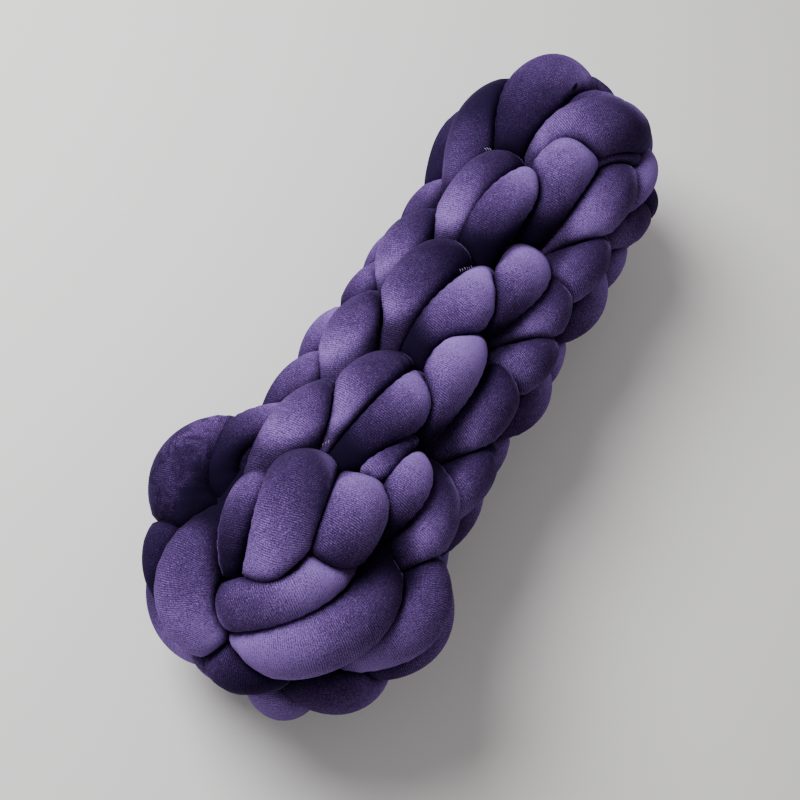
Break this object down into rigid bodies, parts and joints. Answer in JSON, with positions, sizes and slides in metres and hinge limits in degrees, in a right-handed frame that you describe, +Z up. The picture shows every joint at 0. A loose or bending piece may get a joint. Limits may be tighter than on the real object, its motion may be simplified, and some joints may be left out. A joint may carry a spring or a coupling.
{
  "type": "knotted bolster pillow",
  "caption": "Velvet bolster pillow of stuffed tubes plaited in a round crown braid, with a fat knob at each end, for a sofa or bed.",
  "frame": {"origin": "on the surface the pillow lies on, under the middle of its bounding box", "axes": "+X along the bolster towards its smaller knob, +Y across it, +Z up"},
  "size_m": [0.5827, 0.2304, 0.2264],
  "materials": {
    "velvet": "fine-ribbed knit velvet with a crushed, two-way nap"
  },
  "bodies": {
    "root": {"knotted_bolster": "velvet"}
  },
  "joints": []
}
